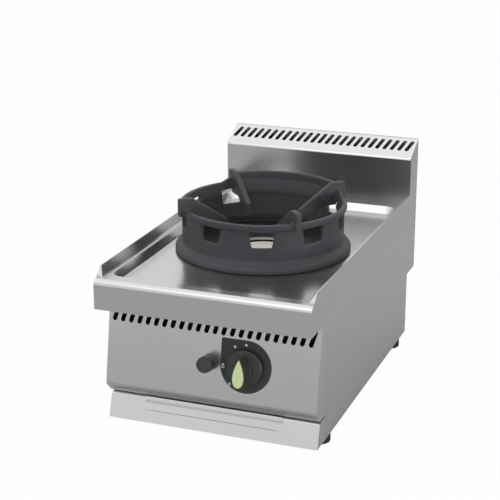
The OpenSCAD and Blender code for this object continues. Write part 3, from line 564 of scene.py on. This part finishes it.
# Knob: one moulding in black nylon, a round skirt with a leaf-shaped grip that flares to
# its foot. A pale green leaf is pressed into the grip's face as the pointer.
knob_axis = (0.0662, 0.0905)
bore = 0.0041
skirt_low = 0.0055
skirt_high = 0.0125
grip_high = 0.0385
leaf_half = 0.0102
leaf_long = 0.050
leaf_middle = -0.0045
flare_wide = 1.5
flare_long = 1.13


def turned(bm, profile, steps=64):
    """Turns a closed profile of (radius, height) points round the z axis."""
    verts = [bm.verts.new((r, 0, z)) for r, z in profile]
    edges = [bm.edges.new((verts[i - 1], verts[i])) for i in range(len(verts))
             if profile[i - 1][0] + profile[i][0] > 0]
    bmesh.ops.spin(bm, geom=verts + edges, axis=(0, 0, 1), cent=(0, 0, 0),
                   angle=2 * math.pi, steps=steps, use_merge=True)
    bmesh.ops.remove_doubles(bm, verts=bm.verts, dist=1e-6)
    bmesh.ops.recalc_face_normals(bm, faces=bm.faces)


def raised(bm, edges, levels):
    """Raises a leaf outline through levels of (height, width share, length share)."""
    wide, long = 1, 1
    for z, next_wide, next_long in levels:
        new = bmesh.ops.extrude_edge_only(bm, edges=edges)["geom"]
        edges = [g for g in new if isinstance(g, bmesh.types.BMEdge)]
        for v in (g for g in new if isinstance(g, bmesh.types.BMVert)):
            v.co = (v.co.x * next_wide / wide,
                    leaf_middle + (v.co.y - leaf_middle) * next_long / long, z)
        wide, long = next_wide, next_long
    return edges


def close_ends(bm, foot, brim):
    """Closes a raised outline at its foot and its brim."""
    bmesh.ops.edgeloop_fill(bm, edges=foot)
    bmesh.ops.edgeloop_fill(bm, edges=brim)
    bmesh.ops.recalc_face_normals(bm, faces=bm.faces)


bm = bmesh.new()
turned(bm, [(bore, skirt_low), (0.0323, skirt_low), (0.0330, 0.0062), (0.0330, 0.0090),
            (0.0327, 0.0104), (0.0319, 0.0115), (0.0306, 0.0122), (0.0290, skirt_high),
            (bore, skirt_high)])
foot = leaf(bm, leaf_half * flare_wide, leaf_long * flare_long, leaf_middle,
            skirt_high - 0.0005)
brim = raised(bm, foot, [
    (0.0140, 0.90, 0.985), (0.0170, 0.84, 0.965), (0.0240, 0.80, 0.95),
    (grip_high - 0.0010, 0.765, 0.94), (grip_high - 0.0003, 0.752, 0.935),
    (grip_high, 0.735, 0.925), (grip_high, 0.685, 0.895),
    (grip_high - 0.0008, 0.685, 0.895)])
close_ends(bm, foot, brim)
on_panel(bm, *knob_axis)
make_piece(bm, "turned_knob", nylon, "knob_unit", ["knob"], sharp=40)

pale_green = plain_finish("pale_green_insert", "#cfe0a6", 0.35, grain=0.006, vary=0.03)
bm = bmesh.new()
foot = leaf(bm, leaf_half, leaf_long, leaf_middle, grip_high - 0.0009)
brim = raised(bm, foot, [(grip_high + 0.0001, 1.0, 1.0),
                         (grip_high + 0.0004, 0.95, 0.975)])
close_ends(bm, foot, brim)
on_panel(bm, *knob_axis)
make_piece(bm, "leaf_pointer", pale_green, "knob_unit", ["knob_insert"])

# Spark button: moulded black nylon plunger with a rounded rim, in a housing that is
# clamped behind the panel.
button_axis = (-0.0015, 0.0905)
bm = bmesh.new()
turned(bm, [(0, -0.012), (0.0145, -0.012), (0.0145, 0.0276), (0.0142, 0.0288),
            (0.0134, 0.0296), (0.0122, 0.0300), (0, 0.0300)])
on_panel(bm, *button_axis)
make_piece(bm, "spark_plunger", nylon, "igniter_button",
           ["spark_button"], sharp=40)
dress("button_housing", nylon)

# Tray details: a hairline slit below the finger pull with a dot at each end, where the
# front's fold is let in. Its shade is painted as a dark line that lies on the steel.
# The slit's dark grey is painted shade for the shadow inside the gap, not the steel's
# colour.
slit_shade_paint = plain_finish("painted_shade_slit", "#3c3c3e", 0.6, grain=0.003)
tray_foot = Vector((0, -0.3063, 0.020))
tray_lean = math.atan2(0.0132, 0.0403)
slit_up = 0.0230
slit_thick = 0.0002
for name, x, wide, high in (("tray_slit", -0.0017, 0.2418, 0.0007),
                            ("tray_slit_end_left", -0.1280, 0.0014, 0.0014),
                            ("tray_slit_end_right", 0.1250, 0.0014, 0.0014)):
    bm = bmesh.new()
    size = Matrix.Diagonal((wide, high, slit_thick, 1))
    bmesh.ops.create_cube(bm, size=1, matrix=size)
    on_slope(bm, tray_foot, tray_lean, x, slit_up)
    make_piece(bm, name, slit_shade_paint, "tray")

# Feet: moulded black rubber pads, matt and nearly black, that are screwed up through the
# base. Their soles are rounded.
rubber = plain_finish("moulded_rubber", "#1d1d1d", 0.7, grain=0.0015)
for node in ("foot_front_left", "foot_front_right", "foot_back_left", "foot_back_right"):
    foot_low, foot_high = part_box(node)
    bm = bmesh.new()
    turned(bm, [(0, 0), (0.0175, 0), (0.0188, 0.0004), (0.0197, 0.0013), (0.0200, 0.0028),
                (0.0200, 0.0196), (0.0196, 0.0200), (0, 0.0200)])
    bmesh.ops.translate(bm, verts=bm.verts, vec=((foot_low[0] + foot_high[0]) / 2,
                                                 (foot_low[1] + foot_high[1]) / 2, 0))
    make_piece(bm, node + "_pad", rubber, "casing", [node], sharp=40)

low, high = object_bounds()
